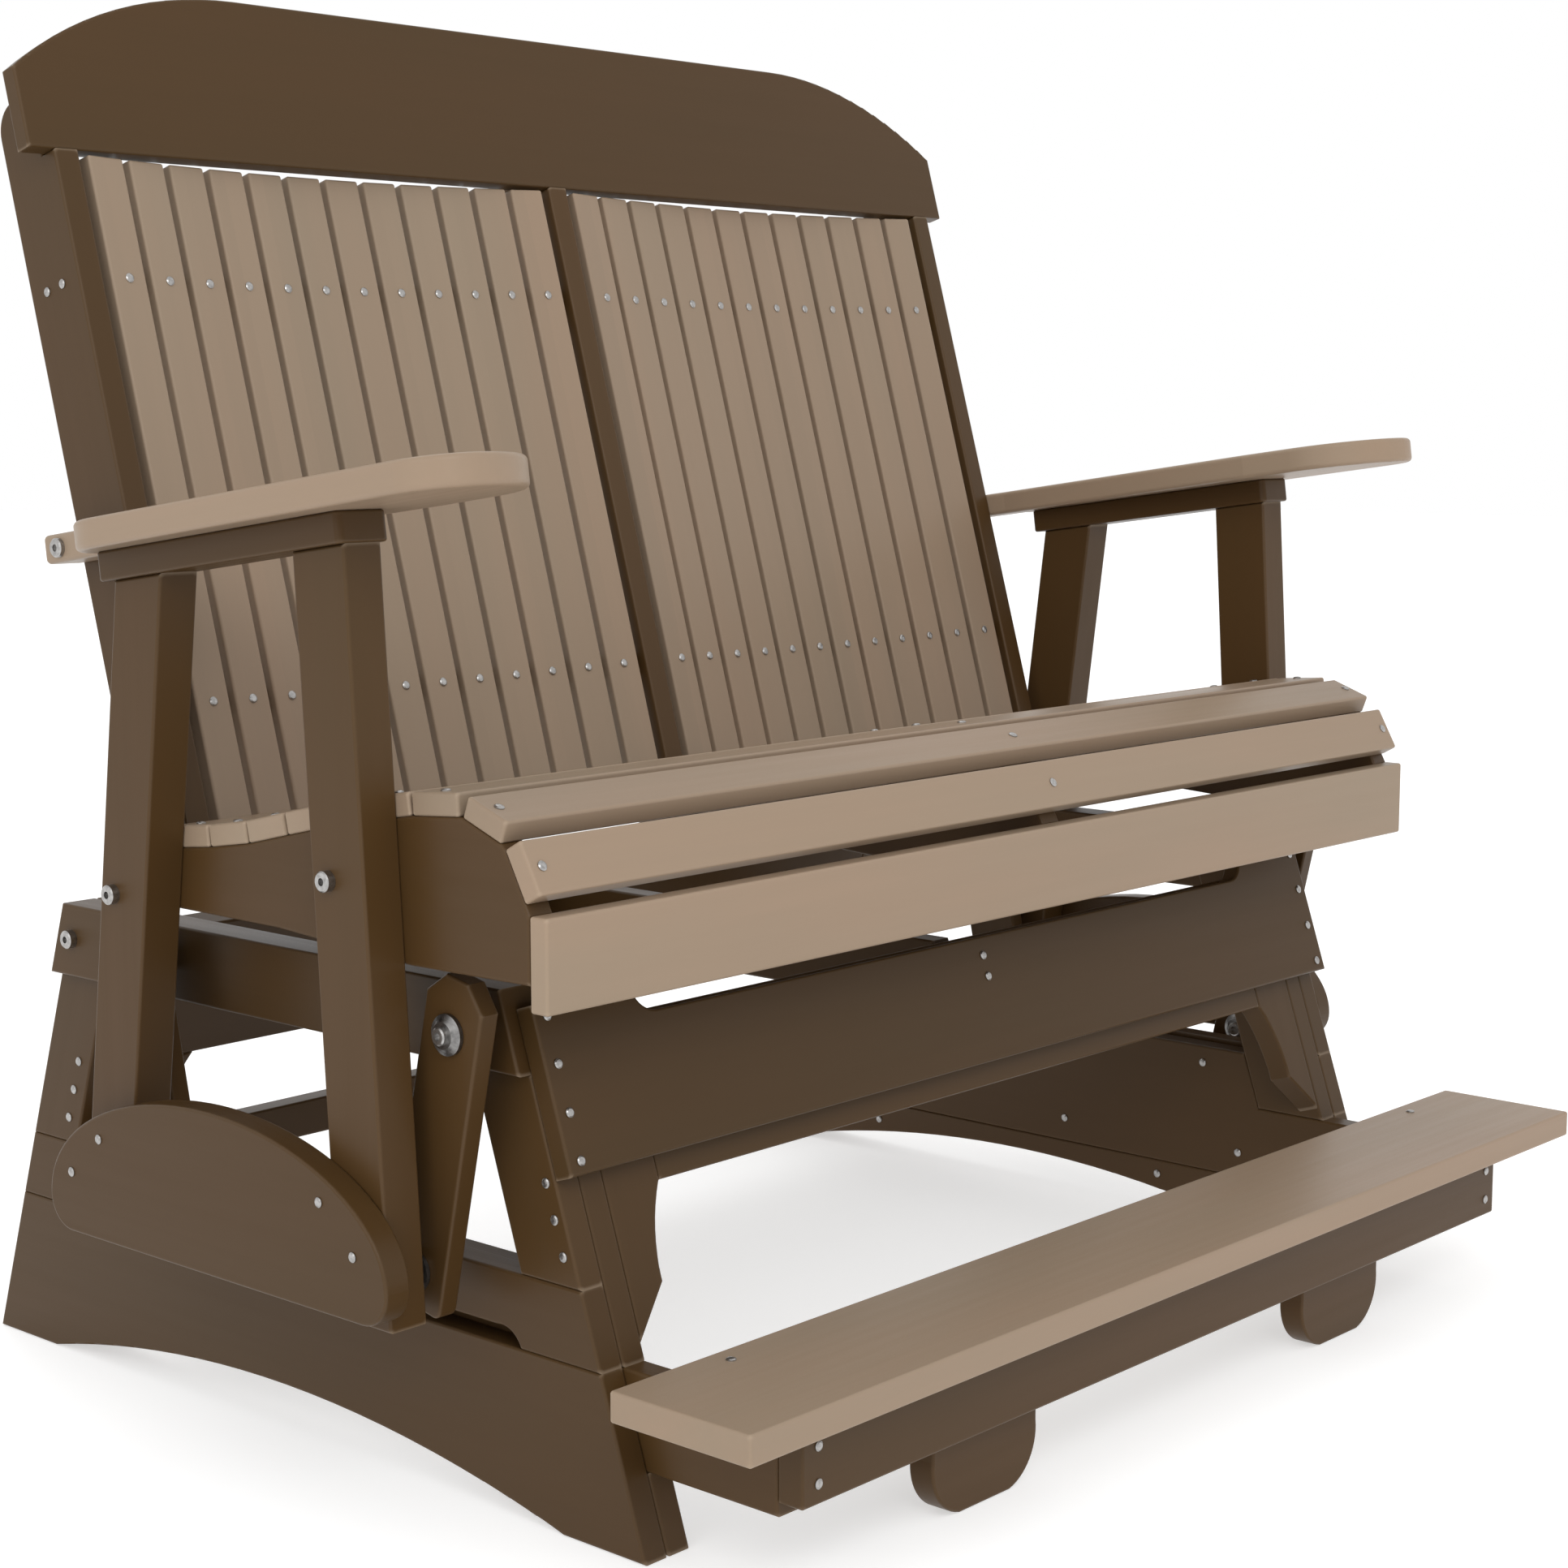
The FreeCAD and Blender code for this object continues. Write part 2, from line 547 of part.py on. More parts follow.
second_slat = (second_start, -math.radians(SLAT_TILTS[0]), d.second_slat_wide)
front_slat = (front_start, front_tilt, d.front_slat_wide)
nose_slat = (nose_start, nose_tilt, d.nose_slat_wide)
seat_boards("seat_nose_slat", [slat_outline(*nose_slat)])
seat_boards("seat_front_slat", [slat_outline(*front_slat)])
seat_boards("seat_second_slat", [slat_outline(*second_slat)])
seat_boards("seat_slats", [slat_outline(*item) for item in narrow])
box_board("seat_apron", "2 * Dims.seat_half", "Dims.slat", "Dims.seat_apron_tall",
          "-Dims.seat_half", "-Dims.apron_back - Dims.slat", "Dims.seat_apron_low")

# ---------------------------------------------------------------- back

deep, round_r = d.upright_deep, d.upright_round
round_in = round_r * (1 - math.sin(math.pi / 4))
upright = [lean_point(0, d.seat_bottom / math.cos(lean)),
           lean_point(deep, (d.seat_bottom + deep * math.sin(lean)) / math.cos(lean)),
           lean_point(deep, d.upright_top - round_r),
           ("arc", lean_point(deep - round_in, d.upright_top - round_in),
            lean_point(deep - round_r, d.upright_top)),
           lean_point(d.slat, d.upright_top), lean_point(d.slat, d.shelf), lean_point(0, d.shelf)]
for word, side in SIDES:
    side_board("back_upright_" + word, side, upright, "Dims.seat_half - 2 * Dims.board")
centre_upright = new_body("back_upright_centre")
pad_board(centre_upright, "YZ_Plane", [upright], "Dims.board")
place(centre_upright, "-Dims.board / 2")

crown = d.head_end_tall + d.head_crown
crown_radius = (d.head_run ** 2 + d.head_crown ** 2) / (2 * d.head_crown)
crown_turn = math.asin(d.head_run / crown_radius) / 2
flat_half = d.seat_half - d.head_run
crown_mid = (flat_half + crown_radius * math.sin(crown_turn), crown - crown_radius * (1 - math.cos(crown_turn)))
z = d.shelf
headboard_outline = [(-d.seat_half, z), (d.seat_half, z), (d.seat_half, z + d.head_end_tall),
                     ("arc", (crown_mid[0], z + crown_mid[1]), (flat_half, z + crown)),
                     (-flat_half, z + crown),
                     ("arc", (-crown_mid[0], z + crown_mid[1]), (-d.seat_half, z + d.head_end_tall))]
headboard = new_body("headboard")
pad_board(headboard, "XZ_Plane", [headboard_outline], "Dims.slat", reverse=True)
turn(headboard, -d.lean_angle, -d.lean_foot)

bay_in = d.board / 2
bay_out = d.seat_half - 2 * d.board
bay_mid = (bay_in + bay_out) / 2
bay_half = (bay_out - bay_in) / 2
sag_radius = (bay_half ** 2 + d.back_sag ** 2) / (2 * d.back_sag)
centre_y = d.back_sag - sag_radius


def bay_arc(x, offset):
    """Depth of the hollow back at x from the bay's middle, `offset` behind the slats' fronts."""
    return centre_y + math.sqrt((sag_radius + offset) ** 2 - x ** 2)


def back_slat(index):
    """A back slat in section: square to the hollow of the bay."""
    x = (index - (BACK_SLATS - 1) / 2) * d.back_slat_pitch
    radius = sag_radius - d.back_seat
    angle = math.asin(x / radius)
    across = (math.cos(angle), -math.sin(angle))
    out = (math.sin(angle), math.cos(angle))
    centre = (bay_mid + radius * out[0], centre_y + radius * out[1])
    half = d.back_slat_wide / 2
    corners = ((-half, 0), (half, 0), (half, d.slat), (-half, d.slat))
    return [(centre[0] + a * across[0] + b * out[0], centre[1] + a * across[1] + b * out[1]) for a, b in corners]


for word, side in SIDES:
    slats = [back_slat(index) for index in range(BACK_SLATS)]
    if side < 0:
        slats = [mirrored(outline) for outline in slats]
    body = new_body("back_slats_" + word)
    sketch = sketch_on(body, "XY_Plane", slats)
    sketch.setExpression("AttachmentOffset.Base.z", "Dims.slats_low")
    pad = body.newObject("PartDesign::Pad", body.Name + "_pad")
    pad.Profile = sketch
    pad.setExpression("Length", "Dims.slats_top - Dims.slats_low")
    doc.recompute()
    round_edges(body, pad, None, "Dims.edge_round")
    turn(body, -d.lean_angle, -d.lean_foot)

rail_outline = [(bay_in, deep), (bay_in, bay_arc(bay_half, d.slat)),
                ("arc", (bay_mid, bay_arc(0, d.slat)), (bay_out, bay_arc(bay_half, d.slat))), (bay_out, deep)]
back_rails = new_body("back_rails")
last = None
for row_name, row in (("lower", "Dims.lower_row"), ("upper", "Dims.upper_row")):
    sketch = sketch_on(back_rails, "XY_Plane", [rail_outline, mirrored(rail_outline)])
    sketch.setExpression("AttachmentOffset.Base.z", row + " - Dims.back_rail_tall / 2")
    last = back_rails.newObject("PartDesign::Pad", "back_rail_" + row_name)
    last.Profile = sketch
    last.setExpression("Length", "Dims.back_rail_tall")
doc.recompute()
round_edges(back_rails, last, 2, "Dims.edge_round")
turn(back_rails, -d.lean_angle, -d.lean_foot)

# ---------------------------------------------------------------- posts, half-moon plates and arms

tilt_run = math.tan(arm_tilt)
under = d.arm_z - d.board / math.cos(arm_tilt)


def post(low_y, run):
    """A post from its lower end up to the sloped underside of the arm support."""
    def edge(y):
        z_top = (under - tilt_run * (y - run * d.post_low + d.arm_y)) / (1 + tilt_run * run)
        return (y + run * (z_top - d.post_low), z_top)
    return [(low_y, d.post_low), (low_y + d.post_wide, d.post_low), edge(low_y + d.post_wide), edge(low_y)]


side_group("front_posts", [post(-d.front_post_y, d.front_post_run)], "Dims.seat_half", "Dims.thick_board")
side_group("rear_posts", [post(d.rear_post_y, -d.rear_post_run)], "Dims.seat_half", "Dims.thick_board")

side_plates = new_body("side_plates")
plate_sketch = sketch_on(side_plates, "YZ_Plane", [])
plate_sketch.setExpression("AttachmentOffset.Base.z", "Dims.seat_half + Dims.thick_board")
plate_mid = Vector(-d.pivot_mid, d.plate_low + d.plate_round, 0)
plate_end = Vector(d.plate_half, 0, 0)
oval = Part.Ellipse(plate_mid + plate_end, plate_mid + Vector(0, d.plate_tall - d.plate_round, 0), plate_mid)
plate_sketch.addGeometry(Part.ArcOfEllipse(oval, 0, math.pi), False)
corner_in = Vector(d.plate_round, 0, 0)
corner_down = Vector(0, -d.plate_round, 0)
for end, inward in ((-plate_end, corner_in), (plate_end, -corner_in)):
    corner_mid = plate_mid + end + inward
    plate_sketch.addGeometry(Part.Arc(plate_mid + end, corner_mid + (corner_down - inward) * math.sin(math.pi / 4),
                                      corner_mid + corner_down), False)
plate_sketch.addGeometry(Part.LineSegment(plate_mid - plate_end + corner_in + corner_down,
                                          plate_mid + plate_end - corner_in + corner_down), False)
plate_pad = side_plates.newObject("PartDesign::Pad", "side_plates_pad")
plate_pad.Profile = plate_sketch
plate_pad.setExpression("Length", "Dims.board")
doc.recompute()
round_edges(side_plates, plate_pad, 0, "Dims.edge_round")
plate_mirror = side_plates.newObject("PartDesign::Mirrored", "side_plates_mirror")
plate_mirror.TransformMode = "Whole shape"
plate_mirror.MirrorPlane = (next(o for o in side_plates.Origin.OriginFeatures if o.Role == "YZ_Plane"), [""])
side_plates.Tip = plate_mirror
place(side_plates)


def on_arm(body):
    turn(body, -d.arm_tilt, -d.arm_y, d.arm_z)


def rounded(x0, x1, y0, y1, r):
    """A rectangle with rounded corners."""
    b = r * (1 - math.sin(math.pi / 4))
    return [(x0 + r, y0), (x1 - r, y0), ("arc", (x1 - b, y0 + b), (x1, y0 + r)),
            (x1, y1 - r), ("arc", (x1 - b, y1 - b), (x1 - r, y1)),
            (x0 + r, y1), ("arc", (x0 + b, y1 - b), (x0, y1 - r)),
            (x0, y0 + r), ("arc", (x0 + b, y0 + b), (x0 + r, y0))]


support = rounded(d.support_in, d.support_out, 0, d.support_long, 6.0)
arm_supports = new_body("arm_supports")
pad_board(arm_supports, "XY_Plane", [support, mirrored(support)], "Dims.board", reverse=True)
on_arm(arm_supports)

upright_face = d.seat_half - d.board
arm_in = d.arm_outer - d.arm_wide
tongue_out = upright_face + d.tongue_wide
tip_out, tip_in = d.arm_tip_round, d.arm_wide - d.arm_tip_round
tail_round = d.arm_outer - tongue_out
half_turn = math.sin(math.pi / 4)
end_bend = d.tongue_round * (1 - half_turn)
arm_outline = [(arm_in, -d.arm_shoulder), (arm_in, tip_in - d.arm_tip),
               ("arc", (arm_in + tip_in * (1 - half_turn), tip_in * (1 - half_turn) - d.arm_tip),
                (arm_in + tip_in, -d.arm_tip)),
               ("arc", (d.arm_outer - tip_out * (1 - half_turn), tip_out * (1 - half_turn) - d.arm_tip),
                (d.arm_outer, tip_out - d.arm_tip)),
               (d.arm_outer, d.arm_rear - tail_round),
               ("arc", (tongue_out + tail_round * half_turn, d.arm_rear - tail_round * (1 - half_turn)),
                (tongue_out, d.arm_rear)),
               (tongue_out, d.tongue_end - d.tongue_round),
               ("arc", (tongue_out - end_bend, d.tongue_end - end_bend), (tongue_out - d.tongue_round, d.tongue_end)),
               (upright_face, d.tongue_end), (upright_face, d.arm_rear)]
for word, side in SIDES:
    body = new_body("arm_" + word)
    outline = arm_outline if side > 0 else mirrored(arm_outline)
    pad_board(body, "XY_Plane", [outline], "Dims.board", edge="Dims.arm_round")
    on_arm(body)

# ---------------------------------------------------------------- fasteners of the base

outer = d.frame_outer
leg_rows = (289.0, 260.5, 232.0)
base_screws = []
for word, side in SIDES:
    for z in leg_rows:
        base_screws.append(screw((side * outer, -slant(z) + 11.4, z), (side, 0, 0)))
        base_screws.append(screw((side * outer, slant(z) - 51.5, z), (side, 0, 0)))
    for y, z in ((217, 42), (-189, 48)):
        base_screws.append(screw((side * layer_2, y, z), (-side, 0, 0)))
    for y, z in ((-246.5, 184.3), (-60.5, 90.5), (-294.1, 90.7)):
        base_screws.append(screw((side * layer_2, y, z), (-side, 0, 0)))
    base_screws.append(screw((side * 524, -499, d.footrest_under + d.board), (0, 0, 1)))
    for z in (92, 122):
        base_screws.append(screw((side * 523, -d.apron_front, z), (0, -1, 0)))

slope_up = (math.sin(leg_angle), math.cos(leg_angle))
slope_out = (0, -math.cos(leg_angle), math.sin(leg_angle))


def front_face(x, along):
    """A point on the front board's face."""
    thick = d.front_board_thick
    return (x, -d.foot_half + along * slope_up[0] + thick * slope_out[1],
            along * slope_up[1] + thick * slope_out[2])


for part in (0.08, 0.36, 0.645, 0.925):
    for side in (-1, 1):
        along = d.front_board_low + part * d.front_board_wide
        base_screws.append(screw(front_face(side * (outer - 13.5), along), slope_out))
for part in (0.556, 0.7):
    base_screws.append(screw(front_face(0, d.front_board_low + part * d.front_board_wide), slope_out))
group("base_screws", base_screws)

group("frame_bolts", [cap_bolt((side * rail_face, slant(d.upper_pivot_z) - 25.0, d.upper_pivot_z), (side, 0, 0),
                               d.cap_radius, d.cap_tall, d.thick_board + 20) for word, side in SIDES])

# ---------------------------------------------------------------- fasteners of the seat

end_screw_x = d.seat_half - d.board / 2
frame_xs = (-end_screw_x, d.board, end_screw_x)
seat_screws = []
for start, tilt, wide in [nose_slat, front_slat, second_slat] + narrow:
    middle_point = step(step(start, tilt, wide / 2), tilt + math.pi / 2, d.slat)
    up = (0, -math.sin(tilt), math.cos(tilt))
    for x in frame_xs:
        seat_screws.append(screw((x, middle_point[0], middle_point[1]), up))

lean_front = (0, -math.cos(lean), math.sin(lean))
for side in (-1, 1):
    for index in range(BACK_SLATS):
        corners = back_slat(index)
        x = side * (corners[0][0] + corners[1][0]) / 2
        back = (corners[0][1] + corners[1][1]) / 2
        for row in (d.lower_row, d.upper_row):
            seat_screws.append(screw((x, *lean_point(back, row)), lean_front))
plate_face = d.seat_half + d.thick_board + d.board
for word, side in SIDES:
    for y, z in ((77.9, 277.8), (119.5, 241.7), (-217.7, 278.3), (-258.0, 241.7)):
        seat_screws.append(screw((side * plate_face, y, z), (side, 0, 0)))
    for back in (26, 50):
        seat_screws.append(screw((side * upright_face, *lean_point(back, d.upper_row)), (side, 0, 0)))
group("seat_screws", seat_screws)

post_face = d.seat_half + d.thick_board
tongue_y = d.tongue_end - d.tongue_bolt
tongue_z = d.board / 2
tongue_at = (-d.arm_y + tongue_y * math.cos(arm_tilt) + tongue_z * math.sin(arm_tilt),
             d.arm_z - tongue_y * math.sin(arm_tilt) + tongue_z * math.cos(arm_tilt))
post_bolts = []
for word, side in SIDES:
    for y, z in ((-207.0, 531.0), (81.0, 487.5)):
        post_bolts.append(cap_bolt((side * post_face, y, z), (side, 0, 0), d.cap_radius, d.cap_tall, d.bolt_long))
    post_bolts.append(cap_bolt((side * tongue_out, *tongue_at), (side, 0, 0), d.cap_radius,
                               d.cap_tall * 0.6, d.bolt_long))
group("post_bolts", post_bolts)

# ---------------------------------------------------------------- check and write

doc.recompute()
faults = [item.Label for item in doc.Objects if "Invalid" in item.State or "Error" in item.State]
for node in nodes:
    shape = node.Shape
    if shape.isNull() or not shape.isValid() or not shape.Solids:
        faults.append(node.Label)
if faults:
    raise RuntimeError("failed objects: " + ", ".join(faults))
os.makedirs("parts", exist_ok=True)
for node in nodes:
    node.Shape.exportStep(os.path.join("parts", node.Label + ".step"))
print(len(nodes), "nodes", sum(len(node.Shape.Solids) for node in nodes), "solids")
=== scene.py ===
"""Looks for the two-seat glider swing: poly-lumber boards in two colours, stainless fasteners, a pale studio.

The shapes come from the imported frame; this script gives them their materials, the light and the camera.
Metres, +Z up, the front of the seat is -Y.
"""
import json
import math

import bpy
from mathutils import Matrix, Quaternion, Vector


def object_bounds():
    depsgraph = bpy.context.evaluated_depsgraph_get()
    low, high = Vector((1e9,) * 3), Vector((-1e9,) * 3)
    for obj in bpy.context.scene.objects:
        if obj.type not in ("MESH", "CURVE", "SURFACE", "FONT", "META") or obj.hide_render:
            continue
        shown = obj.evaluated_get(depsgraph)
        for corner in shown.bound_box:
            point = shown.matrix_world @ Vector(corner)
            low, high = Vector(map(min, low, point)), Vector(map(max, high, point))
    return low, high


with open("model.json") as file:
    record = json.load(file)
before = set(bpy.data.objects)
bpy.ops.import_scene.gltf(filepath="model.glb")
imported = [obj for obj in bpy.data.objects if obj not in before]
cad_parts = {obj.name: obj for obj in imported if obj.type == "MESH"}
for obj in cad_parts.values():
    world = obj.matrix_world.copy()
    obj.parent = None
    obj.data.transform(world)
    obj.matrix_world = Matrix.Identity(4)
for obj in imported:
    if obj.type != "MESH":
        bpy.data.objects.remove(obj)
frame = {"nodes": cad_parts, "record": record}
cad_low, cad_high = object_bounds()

NODES = frame["nodes"]

# linear colours of the two lumber shades, of the painted highlight their edges turn towards, and of the metal
BROWN = (0.066, 0.0360, 0.0120)
SAND = (0.285, 0.217, 0.153)
EDGE_PALE = (0.36, 0.29, 0.22)
STEEL = (0.40, 0.39, 0.38)
BUSH_SHADE = 0.55
METAL_ROUGH = 0.30
WHITE = (1.0, 1.0, 1.0, 1.0)

# a painted edge highlight: how deep the mask looks into a board, its rays, the openness at which it
# starts and is full, its strength, how much lighter it is and how far it pales
EDGE_REACH = 0.0042
EDGE_RAYS = 8
EDGE_START = 0.80
EDGE_FULL = 0.45
EDGE_STRENGTH = 0.70
EDGE_LIFT = 1.6
EDGE_PALE_SHARE = 0.45

# each node's shade swings this far about its lumber's colour, by this step from node to node
SHADE_SWING = 0.05
SHADE_STEP = 2.4

# back slats: their pitch, and what keeps the slat numbers of the two sides apart
SLAT_PITCH = 0.04656
SIDE_OFFSET = 37.0

FLOOR_SIZE = 40.0
FLOOR_DROP = 0.0005

BACK_LEAN = math.radians(15.9)
LEG_LEAN = math.atan(1 / 3)
ARM_TILT = math.radians(7.7)

ALONG_X = Vector((1, 0, 0))
ALONG_Y = Vector((0, 1, 0))
ALONG_Z = Vector((0, 0, 1))
ALONG_BACK = Vector((0, math.sin(BACK_LEAN), math.cos(BACK_LEAN)))
ALONG_ARM = Vector((0, math.cos(ARM_TILT), -math.sin(ARM_TILT)))
ALONG_FRONT_LEG = Vector((0, math.sin(LEG_LEAN), math.cos(LEG_LEAN)))
ALONG_REAR_LEG = Vector((0, -math.sin(LEG_LEAN), math.cos(LEG_LEAN)))


# ------------------------------------------------------------------ materials

class Tree:
    """A material's node tree, with short calls to add and join nodes."""

    def __init__(self, name):
        self.material = bpy.data.materials.new(name)
        self.material.use_nodes = True
        self.nodes = self.material.node_tree.nodes
        self.links = self.material.node_tree.links
        self.shader = self.nodes["Principled BSDF"]

    def add(self, kind, **inputs):
        node = self.nodes.new(kind)
        for key, value in inputs.items():
            node.inputs[key.replace("_", " ")].default_value = value
        return node

    def join(self, source, target):
        self.links.new(source, target)

    def math(self, operation, first, second=None):
        node = self.nodes.new("ShaderNodeMath")
        node.operation = operation
        self.feed(first, node.inputs[0])
        if second is not None:
            self.feed(second, node.inputs[1])
        return node.outputs[0]

    def feed(self, value, socket):
        if isinstance(value, (int, float)):
            socket.default_value = value
        else:
            self.join(value, socket)

    def noise(self, vector, scale, detail, roughness):
        node = self.add("ShaderNodeTexNoise", Scale=scale, Detail=detail, Roughness=roughness)
        self.join(vector, node.inputs["Vector"])
        return node.outputs["Fac"]

    def spread(self, value, low_in, high_in, low_out, high_out):
        node = self.nodes.new("ShaderNodeMapRange")
        node.inputs["From Min"].default_value = low_in
        node.inputs["From Max"].default_value = high_in
        node.inputs["To Min"].default_value = low_out
        node.inputs["To Max"].default_value = high_out
        self.join(value, node.inputs["Value"])
        return node.outputs["Result"]

    def mix(self, factor, first, second):
        node = self.nodes.new("ShaderNodeMix")
        node.data_type = "RGBA"
        self.feed(factor, node.inputs["Factor"])
        for value, socket in ((first, node.inputs["A"]), (second, node.inputs["B"])):
            if isinstance(value, tuple):
                socket.default_value = (*value, 1.0)
            else:
                self.join(value, socket)
        return node.outputs["Result"]


def scaled(colour, factor):
    return tuple(min(1.0, channel * factor) for channel in colour)


def board_tint(tree, coords, tone, base, pitch):
    """Gives each of the boards that stand side by side along X, `pitch` apart, its own shade."""
    split = tree.nodes.new("ShaderNodeSeparateXYZ")
    tree.join(coords, split.inputs["Vector"])
    offset = tree.math("ABSOLUTE", split.outputs["X"])
    index = tree.math("FLOOR", tree.math("DIVIDE", offset, pitch))
    side = tree.math("MULTIPLY", tree.math("SIGN", split.outputs["X"]), SIDE_OFFSET)
    pick = tree.nodes.new("ShaderNodeTexWhiteNoise")
    pick.noise_dimensions = "1D"
    tree.join(tree.math("ADD", index, side), pick.inputs["W"])
    return tree.mix(tree.spread(pick.outputs["Value"], 0.0, 1.0, 0.0, 0.35), tone, scaled(base, 0.84))


def painted_edge_highlight(tree, tone, base):
    """Paints a highlight onto the outer edges, where rays sent into the board soon meet its other faces."""
    edge = tree.add("ShaderNodeAmbientOcclusion", Distance=EDGE_REACH)
    edge.inside = True
    edge.samples = EDGE_RAYS
    own_share = 1.0 - EDGE_PALE_SHARE
    lifted = scaled(base, EDGE_LIFT)
    highlight_tone = tuple(channel * own_share + pale * EDGE_PALE_SHARE for channel, pale in zip(lifted, EDGE_PALE))
    return tree.mix(tree.spread(edge.outputs["AO"], EDGE_START, EDGE_FULL, 0.0, EDGE_STRENGTH), tone, highlight_tone)


def lumber(name, colour, grain, shade, board_pitch):
    """Satin poly lumber: soft streaks and a fine moulded grain along `grain`, edges lightened by a painted
    highlight.

    A `board_pitch` above zero gives each board of that pitch along X its own shade.
    """
    tree = Tree(name)
    coords = tree.nodes.new("ShaderNodeTexCoord").outputs["Object"]
    turn = tree.nodes.new("ShaderNodeMapping")
    turn.vector_type = "POINT"
    turn.inputs["Rotation"].default_value = grain.rotation_difference(ALONG_X).to_euler()
    tree.join(coords, turn.inputs["Vector"])

    def stretched(along, across):
        node = tree.nodes.new("ShaderNodeMapping")
        node.inputs["Scale"].default_value = (along, across, across)
        tree.join(turn.outputs["Vector"], node.inputs["Vector"])
        return node.outputs["Vector"]

    cloud = tree.noise(stretched(along=1.2, across=7.0), scale=1.0, detail=3.0, roughness=0.55)
    streak = tree.noise(stretched(along=3.0, across=90.0), scale=1.0, detail=5.0, roughness=0.62)
    fibre = tree.noise(stretched(along=26.0, across=620.0), scale=1.0, detail=4.0, roughness=0.7)
    pores = tree.noise(coords, scale=900.0, detail=2.0, roughness=0.5)

    base = scaled(colour, shade)
    warm = (base[0] * 1.05, base[1] * 0.97, base[2] * 0.95)
    tone = tree.mix(tree.spread(cloud, 0.3, 0.7, 0.0, 1.0), scaled(base, 0.95), warm)
    tone = tree.mix(tree.spread(streak, 0.35, 0.75, 0.0, 0.16), tone, scaled(base, 0.84))
    tone = tree.mix(tree.spread(fibre, 0.55, 0.85, 0.0, 0.12), tone, scaled(base, 1.18))
    if board_pitch:
        tone = board_tint(tree, coords, tone, base, board_pitch)
    # painted highlight along the rounded edges, standing in for their sheen
    tone = painted_edge_highlight(tree, tone, base)
    tree.join(tone, tree.shader.inputs["Base Color"])

    dull_streaks = tree.spread(streak, 0.3, 0.7, 0.34, 0.42)
    fine_pores = tree.spread(pores, 0.3, 0.7, -0.03, 0.03)
    tree.join(tree.math("ADD", dull_streaks, fine_pores), tree.shader.inputs["Roughness"])
    relief = tree.math("ADD", tree.math("MULTIPLY", fibre, 0.6), tree.math("MULTIPLY", streak, 0.9))
    bump = tree.add("ShaderNodeBump", Strength=0.12, Distance=0.0004)
    tree.join(relief, bump.inputs["Height"])
    tree.join(bump.outputs["Normal"], tree.shader.inputs["Normal"])
    tree.shader.inputs["Specular IOR Level"].default_value = 0.18
    return tree.material


def steel(name, colour):
    """Stainless steel: fine turning marks and a few duller patches."""
    tree = Tree(name)
    coords = tree.nodes.new("ShaderNodeTexCoord").outputs["Object"]
    patch = tree.noise(coords, scale=260.0, detail=3.0, roughness=0.6)
    marks = tree.noise(coords, scale=2600.0, detail=2.0, roughness=0.6)
    tone = tree.mix(tree.spread(patch, 0.35, 0.7, 0.0, 1.0), scaled(colour, 1.12), scaled(colour, 0.72))
    tree.join(tone, tree.shader.inputs["Base Color"])
    rough = tree.spread(marks, 0.3, 0.7, METAL_ROUGH - 0.06, METAL_ROUGH + 0.10)
    tree.join(rough, tree.shader.inputs["Roughness"])
    bump = tree.add("ShaderNodeBump", Strength=0.15, Distance=0.0002)
    tree.join(marks, bump.inputs["Height"])
    tree.join(bump.outputs["Normal"], tree.shader.inputs["Normal"])
    tree.shader.inputs["Metallic"].default_value = 1.0
    return tree.material


def give(node, material):
    """Puts one material on a CAD node."""
    slots = NODES[node].data.materials
    slots.clear()
    slots.append(material)


# the way the grain runs, by the start of a node's name; the longest start that fits counts
GRAIN = {
    "headboard": ALONG_X, "seat_": ALONG_X, "footrest_top": ALONG_X, "footrest_apron": ALONG_X,
    "footrest_feet": ALONG_X, "front_board": ALONG_X, "front_backing_strip": ALONG_X,
    "rear_cross_board": ALONG_X, "rear_stretcher": ALONG_X, "back_rails": ALONG_X, "side_plates": ALONG_Y,
    "seat_end_frame": ALONG_Y, "seat_centre_frame": ALONG_Y, "arm_": ALONG_ARM, "bottom_board": ALONG_Y,
    "middle_board": ALONG_Y, "top_rail": ALONG_Y, "inner_lower_board": ALONG_Y, "footrest_arm": ALONG_Y,
    "centre_brace": ALONG_Y, "front_leg": ALONG_FRONT_LEG, "inner_front_legs": ALONG_FRONT_LEG,
    "front_gussets": ALONG_FRONT_LEG, "rear_leg": ALONG_REAR_LEG, "inner_rear_legs": ALONG_REAR_LEG,
    "rear_gussets": ALONG_REAR_LEG, "front_posts": ALONG_Z, "rear_posts": ALONG_Z, "link_": ALONG_Z,
    "back_upright": ALONG_BACK, "back_slats": ALONG_BACK,
}
slot_of = {item["node"]: item["material_slot"] for item in frame["record"]["subparts"]}
metals = {
    "stainless": steel("stainless", STEEL),
    "bush_plastic": steel("bush_metal", scaled(STEEL, BUSH_SHADE)),
}
for number, node in enumerate(sorted(NODES)):
    slot = slot_of[node]
    if slot in metals:
        give(node, metals[slot])
        continue
    colour = SAND if slot == "sand_lumber" else BROWN
    starts = [key for key in GRAIN if node.startswith(key)]
    grain = GRAIN[max(starts, key=len)]
    shade = 1.0 + SHADE_SWING * math.sin(SHADE_STEP * number)
    pitch = SLAT_PITCH if node.startswith("back_slats") else 0.0
    give(node, lumber("lumber_" + node, colour, grain, shade, pitch))

# ------------------------------------------------------------------ studio

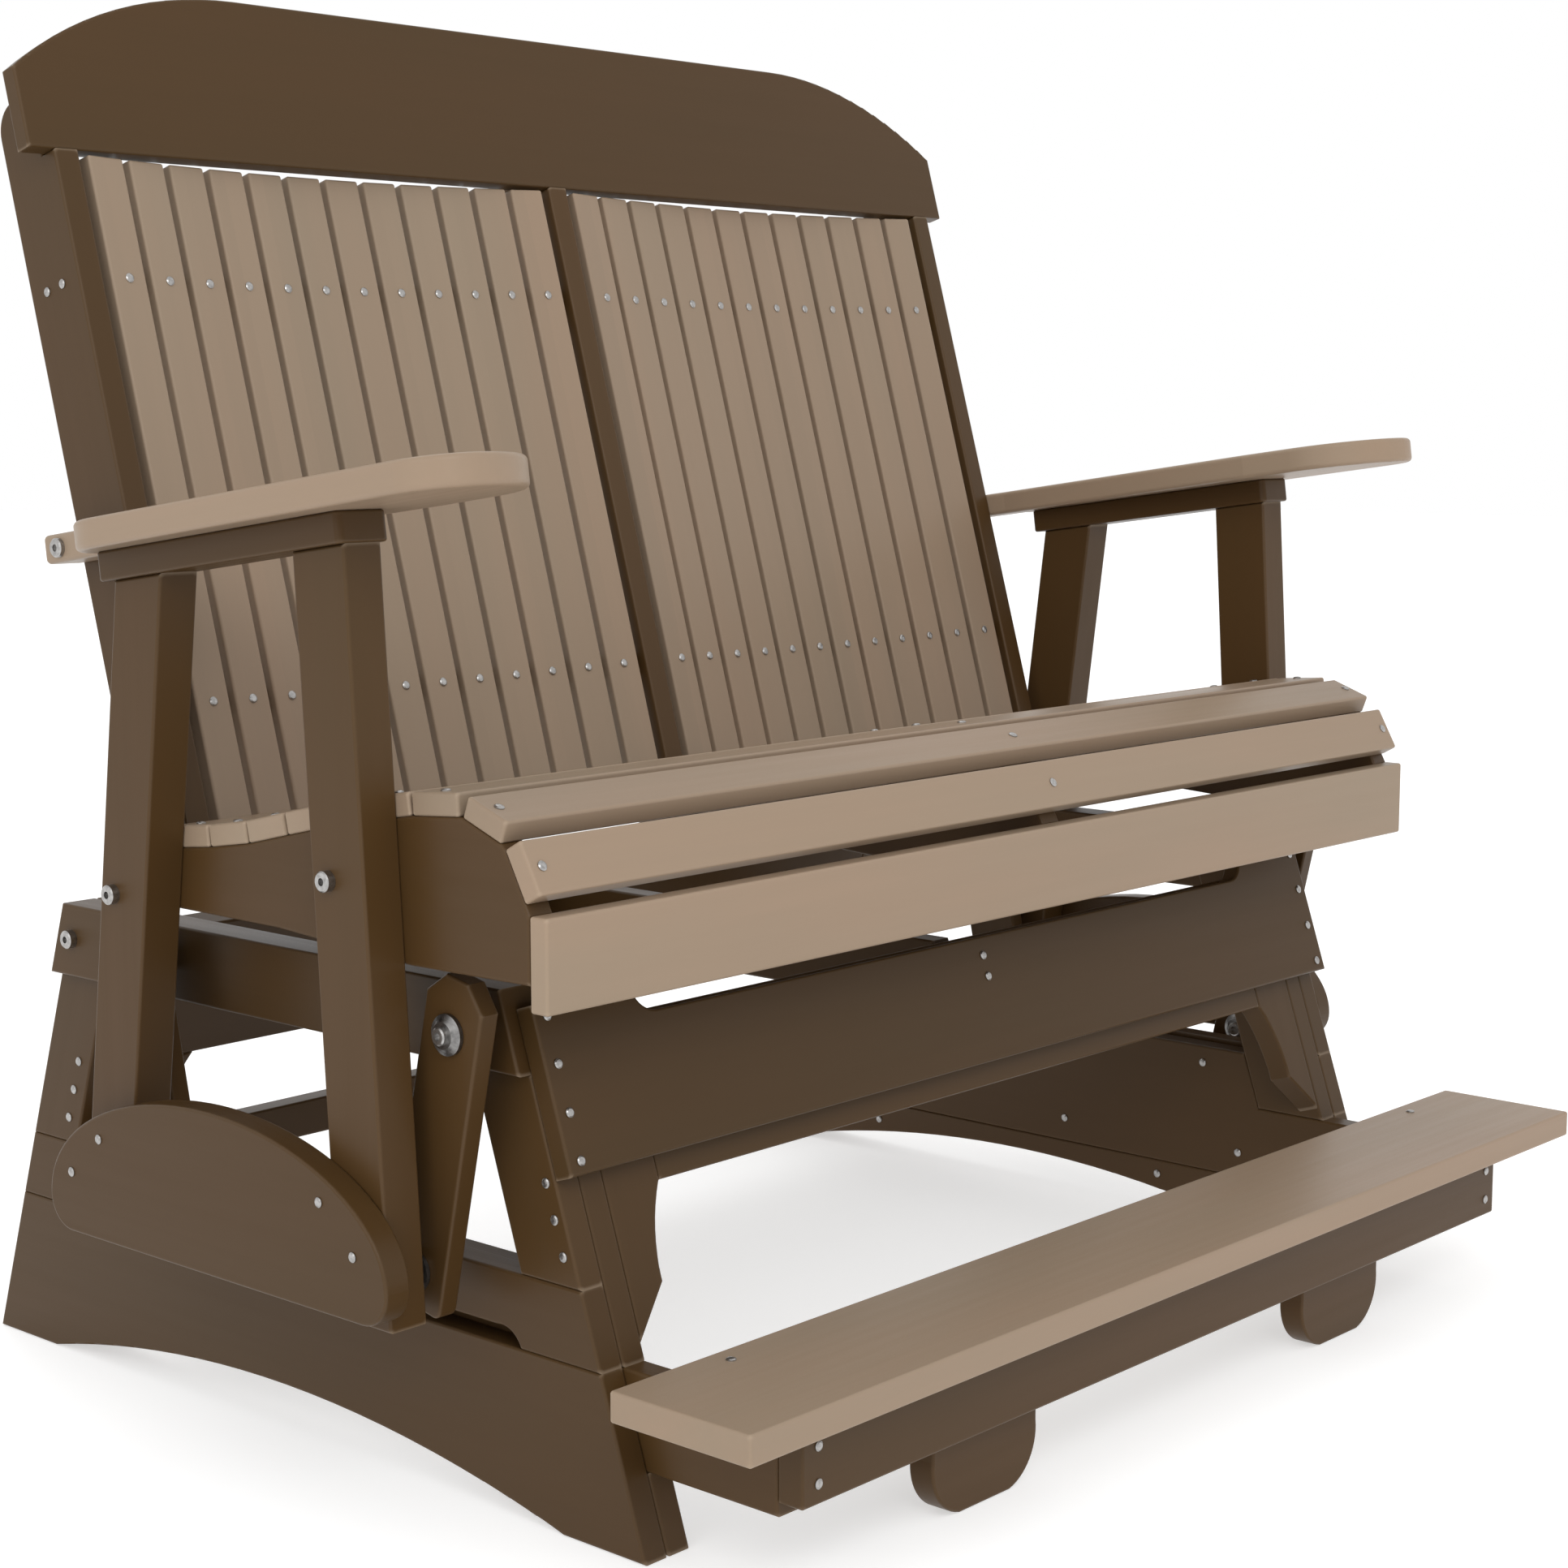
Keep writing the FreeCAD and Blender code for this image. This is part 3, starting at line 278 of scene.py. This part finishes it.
bpy.ops.mesh.primitive_plane_add(size=FLOOR_SIZE, location=(0, 0, -FLOOR_DROP))
floor = bpy.context.object
floor.name = "floor"
floor_tree = Tree("pale_floor")
floor_coords = floor_tree.nodes.new("ShaderNodeTexCoord").outputs["Object"]
floor_cloud = floor_tree.noise(floor_coords, scale=0.8, detail=2.0, roughness=0.5)
floor_tree.join(floor_tree.mix(floor_cloud, (0.60, 0.60, 0.60), (0.64, 0.64, 0.64)),
                floor_tree.shader.inputs["Base Color"])
floor_tree.shader.inputs["Emission Color"].default_value = WHITE
floor_tree.shader.inputs["Emission Strength"].default_value = 0.55
floor_tree.shader.inputs["Roughness"].default_value = 0.9
floor_tree.shader.inputs["Specular IOR Level"].default_value = 0.1
floor.data.materials.append(floor_tree.material)

world = bpy.data.worlds.new("studio")
world.use_nodes = True
world.node_tree.nodes["Background"].inputs["Color"].default_value = WHITE
world.node_tree.nodes["Background"].inputs["Strength"].default_value = 1.0
scene = bpy.context.scene
scene.world = world
scene.view_settings.view_transform = "Standard"

middle = (cad_low + cad_high) / 2


def direction(azimuth, elevation):
    """The way from the object towards a light or the camera; azimuth 0 is in front of the seat."""
    return Vector((math.sin(azimuth) * math.cos(elevation), -math.cos(azimuth) * math.cos(elevation),
                   math.sin(elevation)))


def softbox(name, azimuth, elevation, distance, size, watts):
    """A large soft light that faces the object's middle; its angles are in degrees."""
    light = bpy.data.lights.new(name, "AREA")
    light.shape = "SQUARE"
    light.size = size
    light.energy = watts
    lamp = bpy.data.objects.new(name, light)
    scene.collection.objects.link(lamp)
    back = direction(math.radians(azimuth), math.radians(elevation))
    lamp.location = middle + back * distance
    lamp.rotation_mode = "QUATERNION"
    lamp.rotation_quaternion = (-back).to_track_quat("-Z", "Y")


softbox("key_light", azimuth=-38, elevation=30, distance=4.2, size=1.6, watts=34)
softbox("side_light", azimuth=-85, elevation=22, distance=3.8, size=2.0, watts=14)
softbox("back_light", azimuth=150, elevation=50, distance=3.8, size=2.4, watts=14)

# ------------------------------------------------------------------ camera

CAMERA_AZIMUTH = math.radians(-48.30)
CAMERA_ELEVATION = math.radians(7.53)
CAMERA_ROLL = math.radians(0.01169)
CAMERA_PLACE = Vector((-2.0797, -1.8524, 0.8992))
CAMERA_SENSOR = 36.0
CAMERA_LENS = 65.16
camera_data = bpy.data.cameras.new("camera")
camera_data.sensor_width = CAMERA_SENSOR
camera_data.lens = CAMERA_LENS
camera_data.dof.use_dof = False
camera = bpy.data.objects.new("camera", camera_data)
scene.collection.objects.link(camera)
look_back = direction(CAMERA_AZIMUTH, CAMERA_ELEVATION)
camera.location = CAMERA_PLACE
camera.rotation_mode = "QUATERNION"
camera.rotation_quaternion = (-look_back).to_track_quat("-Z", "Y") @ Quaternion((0, 0, 1), CAMERA_ROLL)
scene.camera = camera
